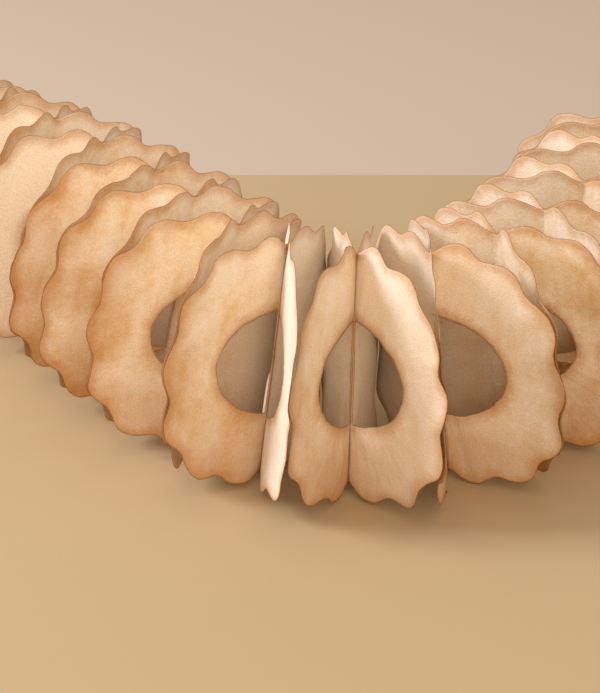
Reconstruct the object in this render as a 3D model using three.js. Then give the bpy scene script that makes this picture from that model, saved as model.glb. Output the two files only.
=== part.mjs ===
// A paper garland of the expanding honeycomb kind, laid in a wide U on a flat surface.
// Each sheet is one scalloped disc. Sheets are glued in pairs along a middle line, and each pair is
// glued to the next one at the outer lobes, so the opened stack is a row of cells. The half of a
// sheet on the outer side of the U has a half-round window beside the narrow glued strip.
// Millimetres, +Z up. The middle of the U faces -Y and both arms run back towards +Y.

import * as THREE from "three";

// The flat sheet. It is a little wider than high, measured from its glue line, with full shoulders
// in between. The window is half an ellipse, and lies a little low.
const sheetHalfWidth = 83;
const sheetHalfHeight = 71;
const shoulderRadius = 83;
const lobeCount = 14;
const notchDepth = 5.3;
const glueNotchDepth = 6.5;
const notchSharpness = 1.2;
const windowDepth = 43;
const windowHalfHeight = 29;
const windowDrop = 1.5;
const glueStrip = 1.2;
const paperThickness = 0.3;
const sheetClearance = 0.3;

// How the paper bends between its glue line and the outer glued lobes: above 1 it leaves the line
// steeply and comes in flat to the next pair.
const bendPower = 1.57;
const bendSteps = 24;

// Points along one lobe of the rim and round a window, and the fold lines that follow the bend.
const pointsPerLobe = 4;
const windowSteps = 10;
const frontFolds = [10, 22, 40, 60];
const rearFolds = [14, 32, 56];

// The glue lines, from the end of the left arm to the end of the right one. step is the distance to
// the next line and course its direction in plan, from +X. front and rear are the directions that the
// two halves of the pair face, from -Y. lean tips the top along the row and tip tips it outwards.
const stations = [
  { step: 54, course: -42, front: -50, rear: -50, lean: -1, tip: -8 },
  { step: 54, course: -46, front: -51, rear: -45, lean: -2, tip: -9 },
  { step: 54, course: -54, front: -50, rear: -44, lean: -3, tip: -10 },
  { step: 58, course: -55.5, front: -45, rear: -42, lean: -7, tip: -9 },
  { step: 55.5, course: -60.5, front: -46, rear: -42, lean: -9.5, tip: -9 },
  { step: 56.5, course: -60.5, front: -58, rear: -50, lean: -7.5, tip: -8.5 },
  { step: 47.5, course: -51.7, front: -47.5, rear: -33, lean: -6.5, tip: -7.5 },
  { step: 44, course: -18.5, front: -25, rear: -12, lean: -4.5, tip: -7 },
  { step: 48.3, course: 15, front: 5.5, rear: 0, lean: -2, tip: -4.5 },
  { step: 52.6, course: 43.5, front: 30, rear: 14, lean: 6, tip: -1.5 },
  { step: 49.5, course: 57, front: 45.5, rear: 46, lean: 9.5, tip: 0 },
  { step: 53, course: 63, front: 53, rear: 58, lean: 10, tip: 2 },
  { step: 54, course: 65, front: 60, rear: 64, lean: 9, tip: 4 },
  { step: 54, course: 66, front: 64, rear: 67, lean: 8, tip: 5 },
  { step: 53, course: 66, front: 66, rear: 66, lean: 7, tip: 5 },
];

const paperColour = 0xe9cfa9;
const lobeAngle = (2 * Math.PI) / lobeCount;
const halfSheetGap = (paperThickness + sheetClearance) / 2;

function radians(degrees) {
  return (degrees * Math.PI) / 180;
}

// The rim in polar form, with the angle measured from the top of the glue line.
function rimRadius(angle) {
  const mean = (sheetHalfWidth + sheetHalfHeight) / 2;
  const widening = (sheetHalfWidth - sheetHalfHeight) / 2;
  const bulge = (shoulderRadius - mean) / 2;
  const outline = mean + bulge - widening * Math.cos(2 * angle) - bulge * Math.cos(4 * angle);
  const fromGlueLine = Math.min(angle, Math.PI - angle);
  const depth = fromGlueLine < lobeAngle / 2 ? glueNotchDepth : notchDepth;
  const wave = Math.cos((lobeCount / 2) * angle) ** 2;
  return outline - depth * wave ** notchSharpness;
}

// Puts a point into a line of flat points wherever the line crosses a fold.
function withFoldCrossings(line, folds) {
  const result = [line[0]];
  for (let i = 1; i < line.length; i += 1) {
    const from = line[i - 1];
    const to = line[i];
    const crossings = folds
      .map((fold) => (fold - from.x) / (to.x - from.x))
      .filter((share) => share > 1e-6 && share < 1 - 1e-6)
      .sort((a, b) => a - b);
    for (const share of crossings) {
      result.push(from.clone().lerp(to, share));
    }
    result.push(to);
  }
  return result;
}

// One quarter of the rim, from the glue line to the widest point, as flat (distance, height) points.
function quarterRim(folds) {
  const steps = (lobeCount / 4) * pointsPerLobe;
  const line = [];
  for (let i = 0; i <= steps; i += 1) {
    const angle = (Math.PI / 2) * (i / steps);
    const radius = rimRadius(angle);
    line.push(new THREE.Vector2(radius * Math.sin(angle), radius * Math.cos(angle)));
  }
  return withFoldCrossings(line, folds);
}

// The upper or lower edge of the window, from the glued strip to its deepest point.
function windowEdge(folds, upwards) {
  const line = [];
  const start = Math.asin(glueStrip / windowDepth);
  for (let i = 0; i <= windowSteps / 2; i += 1) {
    const angle = start + (Math.PI / 2 - start) * (i / (windowSteps / 2));
    const height = upwards * windowHalfHeight * Math.cos(angle) - windowDrop;
    line.push(new THREE.Vector2(windowDepth * Math.sin(angle), height));
  }
  return withFoldCrossings(line, folds);
}

function between(line, from, to) {
  return line.filter((point) => point.x >= from - 1e-6 && point.x <= to + 1e-6);
}

// The lower edge that matches an upper one, running back towards the glue line.
function mirrored(line) {
  return line.map((point) => new THREE.Vector2(point.x, -point.y)).reverse();
}

// The flat outlines of one half of a sheet, cut along its folds. Each outline runs clockwise.
function halfSheetPanels(folds, hasWindow) {
  const edges = [0, ...folds, sheetHalfWidth + 1];
  const rim = quarterRim(folds);
  const upperEdge = hasWindow ? windowEdge(folds, 1) : [];
  const lowerEdge = hasWindow ? windowEdge(folds, -1) : [];
  const panels = [];
  for (let i = 1; i < edges.length; i += 1) {
    const top = between(rim, edges[i - 1], edges[i]);
    const upper = between(upperEdge, edges[i - 1], edges[i]);
    const lower = between(lowerEdge, edges[i - 1], edges[i]);
    if (upper.length < 2) {
      panels.push([...top, ...upper, ...lower, ...mirrored(top)]);
    } else if (edges[i] < windowDepth) {
      panels.push([...top, ...upper.reverse()]);
      panels.push([...lower, ...mirrored(top)]);
    } else {
      panels.push([...top, ...mirrored(top), ...lower, ...upper.reverse()]);
    }
  }
  return panels;
}

// The whole flat sheet as points and triangles: x is the distance from the glue line, positive in
// front, and y is the height.
function flatSheet() {
  const points = [];
  const triangles = [];
  const known = new Map();
  const indexOf = (x, y) => {
    const key = `${x.toFixed(4)} ${y.toFixed(4)}`;
    if (!known.has(key)) {
      known.set(key, points.length);
      points.push(new THREE.Vector2(x, y));
    }
    return known.get(key);
  };
  const addHalf = (panels, side) => {
    for (const panel of panels) {
      const corners = panel.filter((point, i) => i === 0 || point.distanceTo(panel[i - 1]) > 1e-4);
      const indices = corners.map((point) => indexOf(side * point.x + 0, point.y));
      for (const [a, b, c] of THREE.ShapeUtils.triangulateShape(corners, [])) {
        const clockwise = THREE.ShapeUtils.area([corners[a], corners[b], corners[c]]) < 0;
        const turned = clockwise === side > 0 ? [a, c, b] : [a, b, c];
        triangles.push(turned.map((i) => indices[i]));
      }
    }
  };
  addHalf(halfSheetPanels([glueStrip, ...frontFolds], true), 1);
  addHalf(halfSheetPanels(rearFolds, false), -1);
  return { points, triangles };
}

// The direction of a glue line, leaning along the row and tipped outwards.
function lineDirection(station) {
  const facing = radians(station.front);
  const along = new THREE.Vector3(Math.cos(facing), Math.sin(facing), 0);
  const outward = new THREE.Vector3(Math.sin(facing), -Math.cos(facing), 0);
  return new THREE.Vector3(0, 0, 1)
    .multiplyScalar(Math.cos(radians(station.lean)))
    .addScaledVector(along, -Math.sin(radians(station.lean)))
    .addScaledVector(outward, Math.sin(radians(station.tip)))
    .normalize();
}

// The part of a direction that is square to the glue line, because the flat paper turns about it.
function squareTo(up, direction) {
  return direction.clone().addScaledVector(up, -direction.dot(up)).normalize();
}

// How high the middle of a glue line is when its pair of sheets rests on the surface.
function restHeight(flat, line) {
  return Math.max(...flat.points.map((point) => {
    const leaving = point.x < 0 ? line.inward : line.outward;
    return -line.up.z * point.y - leaving.z * Math.abs(point.x);
  }));
}

// The glue lines in space, each with its middle at the height where its pair of sheets rests.
function glueLines(flat) {
  const place = new THREE.Vector3();
  return stations.map((station) => {
    const front = radians(station.front);
    const rear = radians(station.rear);
    const up = lineDirection(station);
    const line = {
      middle: place.clone(),
      up,
      outward: squareTo(up, new THREE.Vector3(Math.sin(front), -Math.cos(front), 0)),
      inward: squareTo(up, new THREE.Vector3(-Math.sin(rear), Math.cos(rear), 0)),
    };
    line.middle.z = restHeight(flat, line);
    const course = radians(station.course);
    place.x += station.step * Math.cos(course);
    place.y += station.step * Math.sin(course);
    return line;
  });
}

function bendShare(distance) {
  return 1 - (1 - Math.min(distance / sheetHalfWidth, 1)) ** bendPower;
}

// How far out the bent paper gets for each distance along it, so that its length stays the same.
function reachOf(line, next, side) {
  const direction = side > 0 ? "outward" : "inward";
  const stepLength = sheetHalfWidth / bendSteps;
  const reach = [0];
  let sideways = 0;
  for (let i = 1; i <= bendSteps; i += 1) {
    const out = reach[i - 1] + stepLength;
    const gap = next.middle.clone().sub(line.middle).addScaledVector(next[direction], out)
      .addScaledVector(line[direction], -out).setZ(0).length();
    const nextSideways = (gap / 2) * bendShare(i * stepLength);
    const rise = Math.min(Math.abs(nextSideways - sideways) / stepLength, 0.98);
    reach.push(reach[i - 1] + stepLength * Math.sqrt(1 - rise * rise));
    sideways = nextSideways;
  }
  return (distance) => {
    const place = Math.min(distance / stepLength, bendSteps - 1e-9);
    const below = Math.floor(place);
    return reach[below] + (reach[below + 1] - reach[below]) * (place - below);
  };
}

function onLine(line, out, height, side) {
  return line.middle.clone().addScaledVector(line.up, height)
    .addScaledVector(side > 0 ? line.outward : line.inward, out);
}

// The direction, towards the next pair, in which two sheets are kept apart by their clearance.
function apartFrom(line, next, half) {
  const up = line.up.clone().add(next.up);
  const leaving = line[half].clone().add(next[half]);
  const sideways = up.cross(leaving).normalize();
  return sideways.multiplyScalar(Math.sign(sideways.dot(next.middle.clone().sub(line.middle))));
}

// The place in space of each flat point of the sheet that bends from its line towards the next one.
// A sheet at an end of the garland has no neighbour and stays flat.
function bentPoints(flat, line, next, away) {
  if (!next) {
    const beside = line.up.clone().cross(line.outward).normalize().multiplyScalar(away * halfSheetGap);
    return flat.points.map((point) => {
      const side = point.x < 0 ? -1 : 1;
      return onLine(line, Math.abs(point.x), point.y, side).add(beside);
    });
  }
  const reaches = { 1: reachOf(line, next, 1), [-1]: reachOf(line, next, -1) };
  const apart = { 1: apartFrom(line, next, "outward"), [-1]: apartFrom(line, next, "inward") };
  return flat.points.map((point) => {
    const side = point.x < 0 ? -1 : 1;
    const distance = Math.abs(point.x);
    const out = reaches[side](distance);
    const own = onLine(line, out, point.y, side);
    const across = onLine(next, out, point.y, side).sub(own);
    const share = bendShare(distance);
    return own.addScaledVector(across, share / 2).addScaledVector(apart[side], halfSheetGap * (1 - 2 * share));
  });
}

// A closed sheet of paper round its middle surface.
function sheetGeometry(flat, places) {
  const middle = new THREE.BufferGeometry();
  middle.setAttribute("position", new THREE.Float32BufferAttribute(places.flatMap((p) => p.toArray()), 3));
  middle.setIndex(flat.triangles.flat());
  middle.computeVertexNormals();
  const normals = middle.getAttribute("normal");
  const count = places.length;
  const vertices = [];
  for (const sign of [1, -1]) {
    places.forEach((point, i) => {
      const normal = new THREE.Vector3().fromBufferAttribute(normals, i);
      vertices.push(...point.clone().addScaledVector(normal, (sign * paperThickness) / 2).toArray());
    });
  }
  const faces = [];
  const edges = new Map();
  for (const [a, b, c] of flat.triangles) {
    faces.push(a, b, c, a + count, c + count, b + count);
    for (const [from, to] of [[a, b], [b, c], [c, a]]) {
      edges.set(`${from} ${to}`, [from, to]);
    }
  }
  for (const [from, to] of edges.values()) {
    if (!edges.has(`${to} ${from}`)) {
      faces.push(from, from + count, to + count, from, to + count, to);
    }
  }
  const geometry = new THREE.BufferGeometry();
  geometry.setAttribute("position", new THREE.Float32BufferAttribute(vertices, 3));
  geometry.setIndex(faces);
  geometry.computeVertexNormals();
  return geometry;
}

// Two sheets for each glue line: one bends towards the line before it, one towards the line after.
function buildSheets(group) {
  const flat = flatSheet();
  const lines = glueLines(flat);
  let number = 0;
  lines.forEach((line, i) => {
    for (const away of [-1, 1]) {
      number += 1;
      const places = bentPoints(flat, line, lines[i + away], away);
      const material = new THREE.MeshStandardMaterial({ color: paperColour, roughness: 0.9, metalness: 0 });
      const sheet = new THREE.Mesh(sheetGeometry(flat, places), material);
      sheet.name = `sheet_${String(number).padStart(2, "0")}`;
      group.add(sheet);
    }
  });
}

const garland = new THREE.Group();
buildSheets(garland);

// The origin is under the middle of the garland, on the surface that it rests on.
const box = new THREE.Box3().setFromObject(garland, true);
const centre = box.getCenter(new THREE.Vector3());
garland.position.set(-centre.x, -centre.y, -box.min.z);
garland.updateMatrixWorld(true);

export default garland;
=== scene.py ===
"""A tea-stained paper garland of the expanding honeycomb kind, laid in a wide U on a pale table.

Each sheet is one scalloped disc that is glued to its pair along the middle line and to the next
pair at the outer lobes. The sheets are cut flat, bent between the glue lines and given the gentle
waves, stained edges and fibre mottle of real paper. Sizes are in millimetres unless a name ends
in _m.
"""

import logging
import math
from dataclasses import dataclass, field
from enum import Enum

import bmesh
import bpy
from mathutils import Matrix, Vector, noise


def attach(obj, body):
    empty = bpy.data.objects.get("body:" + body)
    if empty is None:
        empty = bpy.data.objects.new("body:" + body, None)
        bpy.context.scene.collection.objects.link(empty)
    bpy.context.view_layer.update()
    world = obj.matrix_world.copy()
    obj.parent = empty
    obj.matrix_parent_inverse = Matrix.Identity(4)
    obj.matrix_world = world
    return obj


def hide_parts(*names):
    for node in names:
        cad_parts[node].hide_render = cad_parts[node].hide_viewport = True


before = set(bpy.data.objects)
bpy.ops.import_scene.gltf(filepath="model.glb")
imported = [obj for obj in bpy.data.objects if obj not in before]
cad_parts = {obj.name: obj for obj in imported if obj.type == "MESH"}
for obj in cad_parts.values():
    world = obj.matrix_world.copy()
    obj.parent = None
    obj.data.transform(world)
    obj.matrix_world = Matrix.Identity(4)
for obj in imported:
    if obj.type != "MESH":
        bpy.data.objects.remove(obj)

LOG = logging.getLogger("garland")
MM = 0.001
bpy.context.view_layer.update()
UP = Vector((0, 0, 1))
ON_LINE = 1e-4

Tree = bpy.types.NodeTree
Socket = bpy.types.NodeSocket


def linear(hex_colour: str) -> tuple[float, float, float, float]:
    """Turns an sRGB hex colour into linear RGBA.

    Args:
        hex_colour: six hex digits, such as "E9CFA9".

    Returns:
        The colour as Blender's sockets take it.
    """
    channels = [int(hex_colour[i : i + 2], 16) / 255 for i in (0, 2, 4)]
    red, green, blue = (
        c / 12.92 if c <= 0.04045 else ((c + 0.055) / 1.055) ** 2.4 for c in channels
    )
    return (red, green, blue, 1.0)


def add_node(
    tree: Tree,
    kind: str,
    settings: dict[str, object] | None = None,
    values: dict[int | str, object] | None = None,
    links: dict[int | str, Socket] | None = None,
) -> bpy.types.Node:
    """Adds a node with its settings, its socket values and the links into it.

    Args:
        tree: the node tree.
        kind: the node's type name, without the ShaderNode prefix.
        settings: properties of the node.
        values: constants for its input sockets, by name or number.
        links: the sockets that feed its inputs, by name or number.

    Returns:
        The new node.
    """
    node = tree.nodes.new(f"ShaderNode{kind}")
    for name, value in (settings or {}).items():
        setattr(node, name, value)
    for name, value in (values or {}).items():
        node.inputs[name].default_value = value
    for name, socket in (links or {}).items():
        tree.links.new(socket, node.inputs[name])
    return node


def add_math(
    tree: Tree,
    operation: str,
    values: dict[int, float] | None = None,
    links: dict[int, Socket] | None = None,
) -> Socket:
    """Adds a math node.

    Args:
        tree: the node tree.
        operation: what the node does.
        values: constants for its inputs, by number.
        links: the sockets that feed its inputs, by number.

    Returns:
        The node's value socket.
    """
    return add_node(tree, "Math", {"operation": operation}, values, links).outputs[0]


def add_vector_math(
    tree: Tree,
    operation: str,
    values: dict[int | str, object] | None = None,
    links: dict[int | str, Socket] | None = None,
) -> Socket:
    """Adds a vector math node.

    Args:
        tree: the node tree.
        operation: what the node does.
        values: constants for its inputs, by name or number.
        links: the sockets that feed its inputs, by name or number.

    Returns:
        The node's vector socket.
    """
    return add_node(tree, "VectorMath", {"operation": operation}, values, links).outputs[0]


def add_range(
    tree: Tree, value: Socket, start: float, end: float, top: float = 1.0, smooth: bool = False
) -> Socket:
    """Adds a map range node, which goes from 0 at the start to the top at the end.

    Args:
        tree: the node tree.
        value: what the node reads.
        start: the value that gives 0.
        end: the value that gives the top.
        top: the largest result.
        smooth: whether the result eases in and out.

    Returns:
        The node's result socket.
    """
    settings = {"interpolation_type": "SMOOTHSTEP" if smooth else "LINEAR"}
    values = {"From Min": start, "From Max": end, "To Max": top}
    return add_node(tree, "MapRange", settings, values, {"Value": value}).outputs[0]


def add_mix(tree: Tree, share: Socket, colour: Socket, other: str) -> Socket:
    """Mixes a colour with an sRGB colour.

    Args:
        tree: the node tree.
        share: how much of the other colour comes in.
        colour: the colour at a share of 0.
        other: the hex colour at a share of 1.

    Returns:
        The mixed colour's socket.
    """
    values = {7: linear(other)}
    return add_node(tree, "Mix", {"data_type": "RGBA"}, values, {0: share, 6: colour}).outputs[2]


def add_ramp(tree: Tree, factor: Socket, stops: list[tuple[float, str]]) -> Socket:
    """Adds a colour ramp between sRGB colours.

    Args:
        tree: the node tree.
        factor: what the ramp reads.
        stops: the place and the hex colour of each stop, in order.

    Returns:
        The ramp's colour socket.
    """
    ramp = add_node(tree, "ValToRGB", links={"Fac": factor})
    elements = ramp.color_ramp.elements
    while len(elements) < len(stops):
        elements.new(0.5)
    for element, (place, colour) in zip(elements, stops):
        element.position = place
        element.color = linear(colour)
    return ramp.outputs["Color"]


class Half(Enum):
    """The two halves of a sheet, on either side of its glue line."""

    FRONT = 1
    REAR = -1


@dataclass(frozen=True)
class TeaStainedPaper:
    """Uncoated rag paper, dipped in tea and dried, with toasted edges.

    It is matt, slightly mottled by its fibres, and the tea has gathered in a brown band along every
    cut edge, with a thin dark line on the edge itself. A share is the most that a stain may cover.
    """

    name: str = "tea_stained_rag_paper"
    pale: str = "FCF2E6"
    warm: str = "F7E3C8"
    blotch: str = "E9C694"
    # Partly painted shade: this colour darkens the low parts of each sheet, partly as settled tea
    # and partly as shade where less light reaches them from above.
    settled_tea_and_low_shade: str = "BF8446"
    band: str = "C98F4E"
    edge_line: str = "94602F"
    fleck: str = "C08E58"
    fine_weight: float = 0.5
    ground_from: float = 0.74
    ground_to: float = 1.28
    band_width: float = 7.0
    band_full_at: float = -3.0
    band_share: float = 0.65
    band_wander: float = 8.0
    line_width: float = 0.45
    line_share: float = 0.85
    outer_from: float = 42.0
    outer_to: float = 96.0
    outer_share: float = 0.75
    # The downward darkening is partly settled tea and partly painted shade.
    low_tea_and_shade_from: float = 10.0
    low_tea_and_shade_to: float = -90.0
    low_tea_and_shade_share: float = 0.8
    darkening_wander: float = 60.0
    blotch_size: float = 36.0
    mottle_size: float = 6.0
    fibre_size: float = 0.85
    fleck_size: float = 0.7
    fleck_from: float = 0.6
    fleck_to: float = 0.85
    fleck_share: float = 0.4
    grain_floor: float = 0.72
    grain_contrast: float = 0.56
    crease_turns: float = 7.0
    crease_size: float = 7.0
    crease_stretch: float = 0.2
    crease_weight: float = 1.6
    fibre_weight: float = 0.9
    bump_strength: float = 0.6
    bump_distance_m: float = 0.0008
    roughness: float = 0.9

    def build(self) -> bpy.types.Material:
        """Makes the material. The pattern follows the sheet's own flat coordinates in millimetres.

        Returns:
            The finished node material.
        """
        material = bpy.data.materials.new(self.name)
        material.use_nodes = True
        tree = material.node_tree
        tree.nodes.clear()
        flat = add_node(tree, "Attribute", {"attribute_name": "flat_place"}).outputs["Vector"]
        distance = add_node(tree, "Attribute", {"attribute_name": "edge_distance"}).outputs["Fac"]
        depth = add_node(tree, "Attribute", {"attribute_name": "tea_depth_less_painted_light"}).outputs["Fac"]
        blotches = self._noise(tree, flat, self.blotch_size, detail=4.0, roughness=0.55)
        mottle = self._noise(tree, flat, self.mottle_size, detail=3.0, roughness=0.6)
        fibres = self._noise(tree, flat, self.fibre_size, detail=2.0, roughness=0.6)
        ripples = self._ripples(tree, flat)
        ground = self._ground(tree, blotches, mottle, ripples, depth)
        settled_tea_and_low_shade = self._settle_tea_and_shade(tree, ground, flat, blotches, depth)
        stained = self._stain(tree, settled_tea_and_low_shade, distance, blotches, mottle)
        grained = self._grain(tree, stained, flat, fibres)
        creases = self._creases(tree, flat)
        creased = add_math(
            tree, "MULTIPLY_ADD", {1: self.crease_weight}, {0: creases, 2: ripples}
        )
        height = add_math(tree, "MULTIPLY_ADD", {1: self.fibre_weight}, {0: fibres, 2: creased})
        bump = add_node(
            tree,
            "Bump",
            values={"Strength": self.bump_strength, "Distance": self.bump_distance_m},
            links={"Height": height},
        )
        shader = add_node(
            tree,
            "BsdfPrincipled",
            values={"Roughness": self.roughness, "IOR": 1.45, "Specular IOR Level": 0.25},
            links={"Base Color": grained, "Normal": bump.outputs["Normal"]},
        )
        add_node(tree, "OutputMaterial", links={"Surface": shader.outputs["BSDF"]})
        return material

    @staticmethod
    def _noise(tree: Tree, place: Socket, size: float, detail: float, roughness: float) -> Socket:
        """Adds noise whose patches are about a size in millimetres.

        Args:
            tree: the node tree.
            place: the flat place in millimetres.
            size: the size of one patch.
            detail: the number of finer layers.
            roughness: how strong the finer layers are.

        Returns:
            The noise's value socket.
        """
        values = {"Scale": 1 / size, "Detail": detail, "Roughness": roughness}
        return add_node(tree, "TexNoise", values=values, links={"Vector": place}).outputs["Fac"]

    def _creases(self, tree: Tree, flat: Socket) -> Socket:
        """Adds soft creases that fan out from the middle of the sheet.

        Args:
            tree: the node tree.
            flat: the flat place in millimetres.

        Returns:
            The creases' value socket.
        """
        x, y, _ = add_node(tree, "SeparateXYZ", links={0: flat}).outputs
        level = add_node(tree, "CombineXYZ", links={0: x, 1: y}).outputs[0]
        turn = add_vector_math(tree, "NORMALIZE", links={0: level})
        wide = add_vector_math(tree, "SCALE", {"Scale": self.crease_turns}, {0: turn})
        slow = add_vector_math(tree, "SCALE", {"Scale": 1 / self.blotch_size}, {0: flat})
        place = add_vector_math(tree, "ADD", links={0: wide, 1: slow})
        return self._noise(tree, place, 1.0, detail=2.0, roughness=0.5)

    def _ripples(self, tree: Tree, flat: Socket) -> Socket:
        """Adds faint upright ripples.

        Args:
            tree: the node tree.
            flat: the flat place in millimetres.

        Returns:
            The ripples' value socket.
        """
        stretch = {1: (1.0, self.crease_stretch, 1.0)}
        stretched = add_vector_math(tree, "MULTIPLY", stretch, {0: flat})
        return self._noise(tree, stretched, self.crease_size, detail=3.0, roughness=0.5)

    def _ground(
        self, tree: Tree, blotches: Socket, mottle: Socket, ripples: Socket, depth: Socket
    ) -> Socket:
        """Adds the paper's colour away from its edges.

        Args:
            tree: the node tree.
            blotches: wide patches of tea.
            mottle: small patches of tea.
            ripples: upright ripples.
            depth: how deeply the paper is coloured here: its tea, made lower as painted light on
                the sheets that face the window light and on the rear halves.

        Returns:
            The colour socket.
        """
        weight = {1: self.fine_weight}
        wide = add_math(tree, "MULTIPLY_ADD", weight, {0: ripples, 2: blotches})
        fine = add_math(tree, "MULTIPLY_ADD", weight, {0: mottle, 2: wide})
        share = add_range(tree, fine, self.ground_from, self.ground_to)
        own = add_math(tree, "MULTIPLY", links={0: share, 1: depth})
        return add_ramp(tree, own, [(0.0, self.pale), (0.5, self.warm), (1.0, self.blotch)])

    def _settle_tea_and_shade(
        self, tree: Tree, ground: Socket, flat: Socket, blotches: Socket, depth: Socket
    ) -> Socket:
        """Deepens the colour downwards, partly as settled tea and partly as painted shade on the
        low parts that get less light from above, and towards the outer side.

        Args:
            tree: the node tree.
            ground: the colour of the paper.
            flat: the flat place in millimetres.
            blotches: wide patches that make the change uneven.
            depth: how deeply the paper is coloured here: its tea, made lower as painted light on
                the sheets that face the window light and on the rear halves.

        Returns:
            The colour socket.
        """
        x, y, _ = add_node(tree, "SeparateXYZ", links={0: flat}).outputs
        wander = {1: -self.darkening_wander, 2: self.darkening_wander / 2}
        uneven = add_math(tree, "MULTIPLY_ADD", wander, {0: blotches})
        low = add_math(tree, "ADD", links={0: y, 1: uneven})
        out = add_math(tree, "SUBTRACT", links={0: x, 1: uneven})
        # Painted shade in part: darker towards the bottom, for settled tea and for shade on the low
        # parts.
        low_darkening = add_range(
            tree, low, self.low_tea_and_shade_from, self.low_tea_and_shade_to, self.low_tea_and_shade_share, smooth=True
        )
        outermost = add_range(
            tree, out, self.outer_from, self.outer_to, self.outer_share, smooth=True
        )
        either = add_math(tree, "MAXIMUM", links={0: low_darkening, 1: outermost})
        share = add_math(tree, "MULTIPLY", links={0: either, 1: depth})
        return add_mix(tree, share, ground, self.settled_tea_and_low_shade)

    def _grain(self, tree: Tree, colour: Socket, flat: Socket, fibres: Socket) -> Socket:
        """Adds the fine grain of the fibres and scattered darker flecks.

        Args:
            tree: the node tree.
            colour: the colour of the stained paper.
            flat: the flat place in millimetres.
            fibres: the grain of the fibres.

        Returns:
            The colour socket.
        """
        flecks = self._noise(tree, flat, self.fleck_size, detail=1.0, roughness=0.5)
        share = add_range(tree, flecks, self.fleck_from, self.fleck_to, self.fleck_share)
        flecked = add_mix(tree, share, colour, self.fleck)
        contrast = {1: self.grain_contrast, 2: self.grain_floor}
        level = add_math(tree, "MULTIPLY_ADD", contrast, {0: fibres})
        return add_vector_math(tree, "SCALE", links={0: flecked, "Scale": level})

    def _stain(
        self, tree: Tree, ground: Socket, distance: Socket, blotches: Socket, mottle: Socket
    ) -> Socket:
        """Adds the brown band along the cut edges and the dark line on them.

        Args:
            tree: the node tree.
            ground: the colour of the paper inside its edges.
            distance: the distance from the nearest cut edge, in millimetres.
            blotches: wide patches that make the band wider or narrower.
            mottle: small patches that break up its inner side.

        Returns:
            The colour socket.
        """
        half_wander = self.band_wander / 2
        wide = add_math(
            tree, "MULTIPLY_ADD", {1: -self.band_wander, 2: half_wander}, {0: blotches}
        )
        wander = add_math(tree, "MULTIPLY_ADD", {1: -half_wander}, {0: mottle, 2: wide})
        moved = add_math(tree, "ADD", links={0: distance, 1: wander})
        band = add_range(
            tree, moved, self.band_width, self.band_full_at, self.band_share, smooth=True
        )
        banded = add_mix(tree, band, ground, self.band)
        line = add_range(tree, distance, self.line_width, 0.0, self.line_share)
        return add_mix(tree, line, banded, self.edge_line)


@dataclass(frozen=True)
class Station:
    """A glue line's place in the row and how its pair of sheets stands.

    step is the distance to the next line and course its direction in plan, from +X. front and rear
    are the directions that the two halves face, from -Y. lean tips the top along the row and tip
    tips it outwards. Angles are in degrees.
    """

    step: float
    course: float
    front: float
    rear: float
    lean: float
    tip: float


@dataclass
class GlueLine:
    """A glue line in space, with the directions in which its sheets' halves leave it."""

    middle: Vector
    up: Vector
    outward: Vector
    inward: Vector

    def leaving(self, half: Half) -> Vector:
        """Gives the direction in which a half leaves the line."""
        return self.outward if half is Half.FRONT else self.inward

    def beside(self, out: float, height: float, half: Half) -> Vector:
        """Gives the place at a distance out from the line and a height along it."""
        return self.middle + self.up * height + self.leaving(half) * out


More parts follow.
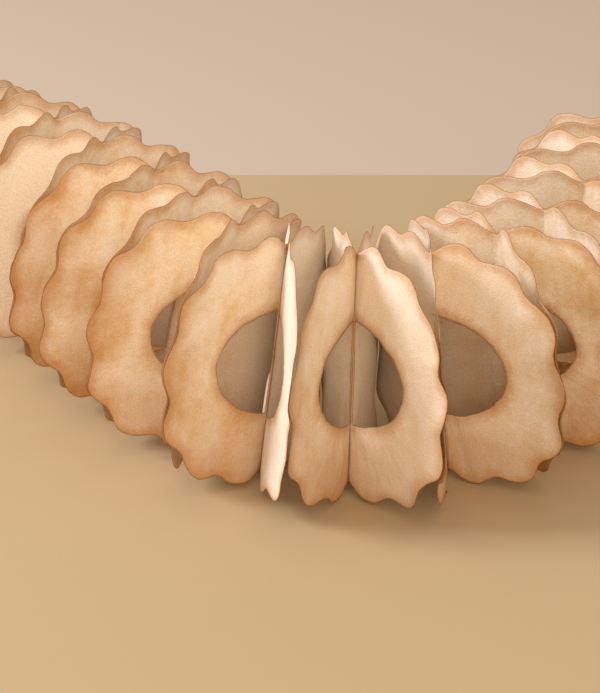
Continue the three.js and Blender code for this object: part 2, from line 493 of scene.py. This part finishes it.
@dataclass
class FlatSheet:
    """One scalloped sheet as it is cut: a half-oval window on one side of the glued strip.

    The sheet is a little wider than high, with full shoulders in between, and the window is low.
    Its cut edges wander by the raggedness, and the window's by a smaller share of it.
    """

    half_width: float = 83.0
    half_height: float = 71.0
    shoulder: float = 83.0
    lobes: int = 14
    notch_depth: float = 5.3
    glue_notch_depth: float = 6.5
    notch_sharpness: float = 1.2
    window_depth: float = 43.0
    window_half_height: float = 29.0
    window_drop: float = 1.5
    points_per_lobe: int = 12
    ring_shares: tuple[float, ...] = (
        0.05, 0.1, 0.17, 0.25, 0.33, 0.41, 0.5, 0.58, 0.66, 0.74, 0.81, 0.87, 0.92, 0.96, 1.0,
    )
    rear_steps: int = 14
    glue_stain: float = 2.5
    raggedness: float = 1.3
    fine_raggedness: float = 0.55
    ragged_turns: float = 5.0
    fine_ragged_turns: float = 17.0
    window_ragged_share: float = 0.7
    weld_distance: float = 0.02

    def rim_radius(self, angle: float) -> float:
        """Gives the radius of the rim at an angle from the top of the glue line."""
        mean = (self.half_width + self.half_height) / 2
        widening = (self.half_width - self.half_height) / 2
        bulge = (self.shoulder - mean) / 2
        outline = mean + bulge - widening * math.cos(2 * angle) - bulge * math.cos(4 * angle)
        near_line = min(angle, math.pi - angle) < math.pi / self.lobes
        depth = self.glue_notch_depth if near_line else self.notch_depth
        wave = math.cos(self.lobes / 2 * angle) ** 2
        return outline - depth * wave**self.notch_sharpness

    def unevenness(self, direction: Vector, seed: float) -> float:
        """Gives how far a cut edge wanders off its line, for a direction and a sheet."""
        wide = noise.noise(direction * self.ragged_turns + UP * seed)
        fine = noise.noise(direction * self.fine_ragged_turns + UP * (seed + 31.0))
        return self.raggedness * wide + self.fine_raggedness * fine

    def window_edge(self, direction: Vector) -> Vector:
        """Gives the point of the window's oval that belongs to a direction from its middle."""
        return Vector((
            self.window_depth * direction.x,
            self.window_half_height * direction.y - self.window_drop,
            0,
        ))

    def ragged_window_edge(self, direction: Vector, seed: float) -> Vector:
        """Gives the point of a sheet's own uneven window edge that belongs to a direction."""
        wander = self.window_ragged_share * self.unevenness(direction, seed) / self.window_depth
        return self.window_edge(direction * (1 + wander))

    def rim_points(self) -> list[Vector]:
        """Gives the rim's points, from the top of the glue line once round the sheet."""
        angles = [math.pi * i / 180 for i in range(361)]
        reach = [self.rim_radius(min(angle, 2 * math.pi - angle)) for angle in angles]
        return [Vector((math.sin(a), math.cos(a), 0)) * radius for a, radius in zip(angles, reach)]

    def cut(self, seed: float) -> bmesh.types.BMesh:
        """Cuts the flat sheet, with its own small unevenness.

        Args:
            seed: moves the unevenness, so that each sheet has its own.

        Returns:
            The flat sheet, with each point's distance from the nearest cut edge.
        """
        sheet = bmesh.new()
        points = self.lobes * self.points_per_lobe
        circle = bmesh.ops.create_circle(sheet, segments=points, radius=1.0)
        window = list({edge for vert in circle["verts"] for edge in vert.link_edges})
        distance = sheet.verts.layers.float.new("edge_distance")
        turn = sheet.verts.layers.float_vector.new("direction")
        for vert in sheet.verts:
            vert[turn] = vert.co.copy()
            vert[distance] = 0.0 if vert.co.x > 0 else self.half_width
            vert.co = self.ragged_window_edge(vert.co, seed)
        self._spread_rings(sheet, window, seed)
        line = self._fill_rear(sheet, window)
        self._add_strip(sheet, line)
        bmesh.ops.remove_doubles(sheet, verts=sheet.verts, dist=self.weld_distance)
        bmesh.ops.recalc_face_normals(sheet, faces=sheet.faces)
        return sheet

    def _spread_rings(
        self, sheet: bmesh.types.BMesh, window: list[bmesh.types.BMEdge], seed: float
    ) -> None:
        """Spreads the sheet from the window's oval out to the scalloped rim.

        Args:
            sheet: the sheet so far.
            window: the edges of the window's oval.
            seed: moves the rim's unevenness.
        """
        distance = sheet.verts.layers.float["edge_distance"]
        turn = sheet.verts.layers.float_vector["direction"]
        edges = window
        for share in self.ring_shares:
            made = bmesh.ops.extrude_edge_only(sheet, edges=edges)["geom"]
            edges = [
                item for item in made if isinstance(item, bmesh.types.BMEdge) and item.is_boundary
            ]
            for vert in (item for item in made if isinstance(item, bmesh.types.BMVert)):
                direction = vert[turn]
                angle = abs(math.atan2(direction.x, direction.y))
                rim = direction * (self.rim_radius(angle) + self.unevenness(direction, seed + 7.0))
                inner = self.ragged_window_edge(direction, seed)
                width = (rim - inner).length
                vert.co = inner.lerp(rim, share)
                from_window = share * width if direction.x > ON_LINE else self.half_width
                vert[distance] = min((1 - share) * width, from_window)

    def _fill_rear(
        self, sheet: bmesh.types.BMesh, window: list[bmesh.types.BMEdge]
    ) -> list[bmesh.types.BMEdge]:
        """Fills the rear half inside the oval, in to the glue line.

        Args:
            sheet: the sheet so far.
            window: the edges of the window's oval.

        Returns:
            The edges along the glue line.
        """
        distance = sheet.verts.layers.float["edge_distance"]
        edges = [edge for edge in window if all(vert.co.x < ON_LINE for vert in edge.verts)]
        for step in range(self.rear_steps):
            made = bmesh.ops.extrude_edge_only(sheet, edges=edges)["geom"]
            verts = [item for item in made if isinstance(item, bmesh.types.BMVert)]
            faces = [item for item in made if isinstance(item, bmesh.types.BMFace)]
            shrink = 1 - 1 / (self.rear_steps - step)
            bmesh.ops.scale(sheet, vec=(shrink, 1, 1), verts=verts)
            for vert in verts:
                vert[distance] = self.half_width if shrink > 0 else self.glue_stain
            fresh = set(verts)
            edges = [
                edge
                for edge in {e for face in faces for e in face.edges}
                if edge.verts[0] in fresh and edge.verts[1] in fresh
            ]
        return edges

    def _add_strip(self, sheet: bmesh.types.BMesh, line: list[bmesh.types.BMEdge]) -> None:
        """Adds the glued strip that crosses the window beside the glue line.

        Args:
            sheet: the sheet so far.
            line: the edges along the glue line.
        """
        distance = sheet.verts.layers.float["edge_distance"]
        step = 2 * math.pi / (self.lobes * self.points_per_lobe)
        front = [vert for vert in sheet.verts if vert.co.x > 0.1]
        top = self.window_edge(Vector((math.sin(step), math.cos(step), 0)))
        bottom = self.window_edge(Vector((math.sin(step), -math.cos(step), 0)))
        corner = min(front, key=lambda vert: (vert.co - top).length)
        foot = min(front, key=lambda vert: (vert.co - bottom).length)
        made = bmesh.ops.extrude_edge_only(sheet, edges=line)["geom"]
        for vert in (item for item in made if isinstance(item, bmesh.types.BMVert)):
            height = min(max(vert.co.y, foot.co.y), corner.co.y)
            vert.co = Vector(((corner.co.x + foot.co.x) / 2, height, 0))
            if height == corner.co.y:
                vert.co = corner.co.copy()
            if height == foot.co.y:
                vert.co = foot.co.copy()
            vert[distance] = 0.0


@dataclass
class Garland:
    """The whole row of sheets, two to each glue line.

    A few sheets are coloured barely or lightly: some carry less tea, and those near the middle that
    face the window light are paler as painted light. All rear halves are paler than the front ones,
    in full from a set distance behind the glue line, as painted light on the rear halves that lie
    in shade inside the cells.
    """

    flat: FlatSheet = field(default_factory=FlatSheet)
    thickness: float = 0.25
    pair_gap: float = 0.12
    bend_power: float = 1.57
    bend_steps: int = 24
    wave_height: float = 2.2
    wave_length: float = 42.0
    curl_height: float = 2.4
    curl_length: float = 19.0
    fan_height: float = 1.6
    fan_turns: float = 3.2
    curl_from: float = 52.0
    curl_over: float = 24.0
    free_share: float = 1.4
    free_from_line: float = 12.0
    steepest: float = 0.98
    # Partly painted light: sheets 14, 16, 18 and 20 face the window light near the middle and are
    # made paler for it; 5, 7 and 27 carry less tea.
    barely_dipped_and_lit_sheets: tuple[int, ...] = (5, 7, 16)
    lightly_dipped_and_lit_sheets: tuple[int, ...] = (14, 18, 20, 27)
    bare_depth: float = 0.15
    light_depth: float = 0.65
    full_depth: float = 0.95
    depth_spread: float = 0.3
    # Painted light: the rear halves, in shade inside the cells, are paled to stand in for light
    # through the paper.
    rear_painted_light: float = 0.5
    rear_painted_light_from: float = 30.0
    edge_seed_step: float = 3.7
    pattern_step: float = 40.0
    stations: tuple[Station, ...] = (
        Station(54, -42, -50, -50, -1, -8),
        Station(54, -46, -51, -45, -2, -9),
        Station(54, -54, -50, -44, -3, -10),
        Station(58, -55.5, -45, -42, -7, -9),
        Station(55.5, -60.5, -46, -42, -9.5, -9),
        Station(56.5, -60.5, -58, -50, -7.5, -8.5),
        Station(47.5, -51.7, -47.5, -33, -6.5, -7.5),
        Station(44, -18.5, -25, -12, -4.5, -7),
        Station(48.3, 15, 5.5, 0, -2, -4.5),
        Station(52.6, 43.5, 30, 14, 6, -1.5),
        Station(49.5, 57, 45.5, 46, 9.5, 0),
        Station(53, 63, 53, 58, 10, 2),
        Station(54, 65, 60, 64, 9, 4),
        Station(54, 66, 64, 67, 8, 5),
        Station(53, 66, 66, 66, 7, 5),
    )

    def glue_lines(self) -> list[GlueLine]:
        """Places the glue lines, each at the height where its pair of sheets rests on the table."""
        rim = self.flat.rim_points()
        place = Vector((0, 0, 0))
        lines = []
        for station in self.stations:
            front, rear = math.radians(station.front), math.radians(station.rear)
            lean, tip = math.radians(station.lean), math.radians(station.tip)
            along = Vector((math.cos(front), math.sin(front), 0))
            facing = Vector((math.sin(front), -math.cos(front), 0))
            up = UP * math.cos(lean) - along * math.sin(lean) + facing * math.sin(tip)
            up.normalize()
            outward = self._square_to(up, facing)
            inward = self._square_to(up, Vector((-math.sin(rear), math.cos(rear), 0)))
            rest = max(-up.z * p.y - (inward if p.x < 0 else outward).z * abs(p.x) for p in rim)
            lines.append(GlueLine(Vector((place.x, place.y, rest)), up, outward, inward))
            course = math.radians(station.course)
            place += Vector((math.cos(course), math.sin(course), 0)) * station.step
        return lines

    @staticmethod
    def _square_to(up: Vector, direction: Vector) -> Vector:
        """Gives the part of a direction that is square to the glue line."""
        return (direction - up * direction.dot(up)).normalized()

    def bend_share(self, out: float) -> float:
        """Gives how far over to the next pair the paper has bent at a distance from its line."""
        return 1 - (1 - min(out / self.flat.half_width, 1)) ** self.bend_power

    def reach_table(self, line: GlueLine, following: GlueLine, half: Half) -> list[float]:
        """Works out how far out the bent paper gets, so that it keeps its length.

        Args:
            line: the sheet's own glue line.
            following: the glue line of the pair that it bends towards.
            half: which half of the sheet.

        Returns:
            The reach at equal steps along the paper.
        """
        step = self.flat.half_width / self.bend_steps
        reach = [0.0]
        sideways = 0.0
        for i in range(1, self.bend_steps + 1):
            out = reach[-1] + step
            gap = following.beside(out, 0, half) - line.beside(out, 0, half)
            gap.z = 0
            next_sideways = gap.length / 2 * self.bend_share(i * step)
            rise = min(abs(next_sideways - sideways) / step, self.steepest)
            reach.append(reach[-1] + step * math.sqrt(1 - rise * rise))
            sideways = next_sideways
        return reach

    def tea_depth_less_painted_light(self, number: int) -> float:
        """Gives how deeply a sheet is coloured; the paler sheets near the middle face the window
        light, and their paleness is painted light.
        """
        if number in self.barely_dipped_and_lit_sheets:
            return self.bare_depth
        own = noise.noise(Vector((number * 1.7, 0.5, 0)))
        usual = self.light_depth if number in self.lightly_dipped_and_lit_sheets else self.full_depth
        return usual + self.depth_spread * own

    def ruffle(self, x: float, y: float, seeds: tuple[float, float, float]) -> float:
        """Adds up one set of waves, curls near the rim and folds that fan out.

        Args:
            x: the distance from the glue line, negative at the rear.
            y: the height along the glue line.
            seeds: move the waves, the curls and the folds, so that each set has its own.

        Returns:
            The height of the paper, in millimetres.
        """
        wave_seed, curl_seed, fan_seed = seeds
        radius = math.hypot(x, y)
        near_rim = max(0.0, min(1.0, (radius - self.curl_from) / self.curl_over)) ** 2
        turn = Vector((x, y, 0)) / max(radius, 1.0) * self.fan_turns
        spread = min(radius / self.flat.half_width, 1.0)
        wide = noise.noise(Vector((x, y, wave_seed)) / self.wave_length)
        curl = noise.noise(Vector((x, y, curl_seed)) / self.curl_length)
        fan = spread * noise.noise(turn + Vector((0, 0, fan_seed)))
        return self.wave_height * wide + self.curl_height * near_rim * curl + self.fan_height * fan

    def waves(self, x: float, y: float, cell: int, own: int) -> float:
        """Gives how far the paper stands off its smooth bend, in millimetres.

        The two sheets of a cell share their waves where they are glued at the outer lobes.

        Args:
            x: the distance from the glue line, negative at the rear.
            y: the height along the glue line.
            cell: the number of the cell that the sheet closes.
            own: the sheet's own number.

        Returns:
            The distance, along the row.
        """
        share = self.bend_share(abs(x))
        shared = self.ruffle(x, y, (cell * 71.0, cell * 53.0 + 900, cell * 11.0))
        free = self.ruffle(x, y, (own * 37.0 + 400, own * 29.0 + 1700, own * 7.0 + 300))
        off_line = min(abs(x) / self.free_from_line, 1)
        return share * shared + self.free_share * off_line * (1 - share) * free

    def bend(
        self, sheet: bmesh.types.BMesh, lines: list[GlueLine], index: int, away: int, own: int
    ) -> None:
        """Moves a flat sheet's points to their places in the garland.

        Args:
            sheet: the flat sheet.
            lines: all the glue lines.
            index: the sheet's own glue line.
            away: -1 if it bends towards the line before, 1 towards the line after.
            own: the sheet's own number.
        """
        line = lines[index]
        gap = (self.thickness + self.pair_gap) / 2
        cell = index + (away > 0)
        ends = not 0 <= index + away < len(lines)
        following = line if ends else lines[index + away]
        beside = line.up.cross(line.outward).normalized() * away
        tables = {} if ends else {half: self.reach_table(line, following, half) for half in Half}
        apart = {half: beside if ends else self._apart(line, following, half) for half in Half}
        step = self.flat.half_width / self.bend_steps
        for vert in sheet.verts:
            x, y = vert.co.x, vert.co.y
            half = Half.REAR if x < 0 else Half.FRONT
            lift = away * self.waves(x, y, cell, own)
            if ends:
                vert.co = line.beside(abs(x), y, half) + beside * (gap + lift)
                continue
            place = min(abs(x) / step, self.bend_steps - 1e-9)
            below = int(place)
            table = tables[half]
            out = table[below] + (table[below + 1] - table[below]) * (place - below)
            start = line.beside(out, y, half)
            across = following.beside(out, y, half) - start
            share = self.bend_share(abs(x))
            vert.co = start + across * (share / 2) + apart[half] * (gap * (1 - 2 * share) + lift)

    @staticmethod
    def _apart(line: GlueLine, following: GlueLine, half: Half) -> Vector:
        """Gives the direction towards the next pair that is square to the paper of a half."""
        leaving = line.leaving(half) + following.leaving(half)
        sideways = (line.up + following.up).cross(leaving).normalized()
        return sideways * math.copysign(1, sideways.dot(following.middle - line.middle))

    def build(self) -> list[bpy.types.Object]:
        """Builds every sheet, in order from the end of the left arm.

        Returns:
            The finished pieces.
        """
        paper = TeaStainedPaper().build()
        lines = self.glue_lines()
        sheets = []
        for index in range(len(lines)):
            for away in (-1, 1):
                number = len(sheets) + 1
                sheet = self.flat.cut(seed=number * self.edge_seed_step)
                flat_place = sheet.verts.layers.float_vector.new("flat_place")
                tea_depth_less_painted_light = sheet.verts.layers.float.new("tea_depth_less_painted_light")
                depth = self.tea_depth_less_painted_light(number)
                for vert in sheet.verts:
                    # Painted light: the rear halves, which lie in shade inside the cells, are paled
                    # to stand in for light that comes through the thin paper.
                    rear_share = min(max(-vert.co.x / self.rear_painted_light_from, 0.0), 1.0)
                    vert[flat_place] = vert.co + UP * (number * self.pattern_step)
                    vert[tea_depth_less_painted_light] = depth * (1 - self.rear_painted_light * rear_share)
                self.bend(sheet, lines, index, away, number)
                sheets.append(sheet)
        points = [vert.co for sheet in sheets for vert in sheet.verts]
        middle = Vector((
            (min(p.x for p in points) + max(p.x for p in points)) / 2,
            (min(p.y for p in points) + max(p.y for p in points)) / 2,
            min(p.z for p in points) - self.thickness / 2,
        ))
        return [
            self._finish(sheet, number, middle, paper) for number, sheet in enumerate(sheets, 1)
        ]

    def _finish(
        self, sheet: bmesh.types.BMesh, number: int, middle: Vector, paper: bpy.types.Material
    ) -> bpy.types.Object:
        """Turns a bent sheet into a piece of the scene.

        Args:
            sheet: the bent sheet, in millimetres.
            number: its number in the row.
            middle: the place under the middle of the garland.
            paper: the material.

        Returns:
            The piece, which stands for the sheet of the same number.
        """
        bmesh.ops.translate(sheet, verts=sheet.verts, vec=-middle)
        bmesh.ops.scale(sheet, verts=sheet.verts, vec=(MM, MM, MM))
        for face in sheet.faces:
            face.smooth = True
        mesh = bpy.data.meshes.new(f"paper_sheet_{number:02d}")
        sheet.to_mesh(mesh)
        sheet.free()
        mesh.materials.append(paper)
        piece = bpy.data.objects.new(f"paper_sheet_{number:02d}", mesh)
        bpy.context.scene.collection.objects.link(piece)
        wall = piece.modifiers.new("thickness", "SOLIDIFY")
        wall.thickness = self.thickness * MM
        wall.offset = 0.0
        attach(piece, "root")
        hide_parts(f"sheet_{number:02d}")
        LOG.info("built %s", piece.name)
        return piece


@dataclass(frozen=True)
class SoftLamp:
    """A large square lamp that looks at the garland. Its power is in watts."""

    name: str
    place_m: tuple[float, float, float]
    power: float
    size_m: float
    colour: str
    aim_m: tuple[float, float, float] = (0.0, 0.0, 0.08)

    def build(self) -> None:
        """Hangs the lamp in its place and turns it to its aim."""
        lamp = bpy.data.lights.new(self.name, "AREA")
        lamp.energy = self.power
        lamp.color = linear(self.colour)[:3]
        lamp.size = self.size_m
        item = bpy.data.objects.new(self.name, lamp)
        item.location = self.place_m
        towards = Vector(self.aim_m) - Vector(self.place_m)
        item.rotation_euler = towards.to_track_quat("-Z", "Y").to_euler()
        bpy.context.scene.collection.objects.link(item)


@dataclass(frozen=True)
class Studio:
    """The pale table, the paler card that lies behind, the soft light and the camera.

    The card lies flat, so that the garland is seen freely from every side.
    """

    table_colour: str = "C0A988"
    card_colour: str = "CBBAAB"
    card_from_y_m: float = 0.391
    stage_reach_m: float = 4.0
    camera_place_m: tuple[float, float, float] = (0.01, -1.1789, 0.5212)
    camera_pitch: float = 23.0
    lens_length: float = 126.9
    lamps: tuple[SoftLamp, ...] = (
        SoftLamp("window_light", (-2.0, -0.25, 1.45), 43.0, 0.9, "FCFCFF"),
        SoftLamp("warm_fill", (0.4, -2.3, 1.3), 17.0, 1.2, "FFE2BF"),
    )
    room_colour: str = "FFF2E0"
    room_level: float = 0.7

    def matt(self, name: str, colour: str) -> bpy.types.Material:
        """Makes a plain matt paint for the table or the card.

        Args:
            name: the material's name.
            colour: its sRGB hex colour.

        Returns:
            The material.
        """
        material = bpy.data.materials.new(name)
        material.use_nodes = True
        tree = material.node_tree
        tree.nodes.clear()
        values = {"Base Color": linear(colour), "Roughness": 0.95, "Specular IOR Level": 0.1}
        shader = add_node(tree, "BsdfPrincipled", values=values)
        add_node(tree, "OutputMaterial", links={"Surface": shader.outputs["BSDF"]})
        return material

    def board(self, name: str, colour: str, near_y_m: float, far_y_m: float) -> bpy.types.Object:
        """Makes a flat board of the stage, which reaches as far to the left as to the right.

        Args:
            name: the board's name.
            colour: its sRGB hex colour.
            near_y_m: where its near edge is.
            far_y_m: where its far edge is.

        Returns:
            The board.
        """
        mesh = bpy.data.meshes.new(name)
        board = bmesh.new()
        bmesh.ops.create_grid(board, x_segments=1, y_segments=1, size=0.5)
        size = (2 * self.stage_reach_m, far_y_m - near_y_m, 1)
        bmesh.ops.scale(board, vec=size, verts=board.verts)
        bmesh.ops.translate(board, vec=(0, (near_y_m + far_y_m) / 2, 0), verts=board.verts)
        board.to_mesh(mesh)
        board.free()
        mesh.materials.append(self.matt(name, colour))
        item = bpy.data.objects.new(name, mesh)
        bpy.context.scene.collection.objects.link(item)
        return item

    def build(self) -> None:
        """Sets up the stage, the lamps, the world and the camera."""
        scene = bpy.context.scene
        scene.view_settings.view_transform = "Standard"
        self.board("table_top", self.table_colour, -self.stage_reach_m, self.card_from_y_m)
        self.board("far_card", self.card_colour, self.card_from_y_m, self.stage_reach_m)
        for lamp in self.lamps:
            lamp.build()
        world = bpy.data.worlds.new("soft_room_light")
        world.use_nodes = True
        background = world.node_tree.nodes["Background"]
        background.inputs["Color"].default_value = linear(self.room_colour)
        background.inputs["Strength"].default_value = self.room_level
        scene.world = world
        camera = bpy.data.cameras.new("camera")
        camera.sensor_fit = "HORIZONTAL"
        camera.sensor_width = 36.0
        camera.lens = self.lens_length
        camera.clip_end = 20.0
        item = bpy.data.objects.new("camera", camera)
        item.location = self.camera_place_m
        item.rotation_euler = (math.radians(90 - self.camera_pitch), 0, 0)
        scene.collection.objects.link(item)
        scene.camera = item


def main() -> None:
    """Builds the stage and the garland in order."""
    logging.basicConfig(level=logging.INFO)
    Studio().build()
    pieces = Garland().build()
    LOG.info("%d paper sheets stand for the sheets of the frame", len(pieces))


if __name__ == "__main__":
    main()
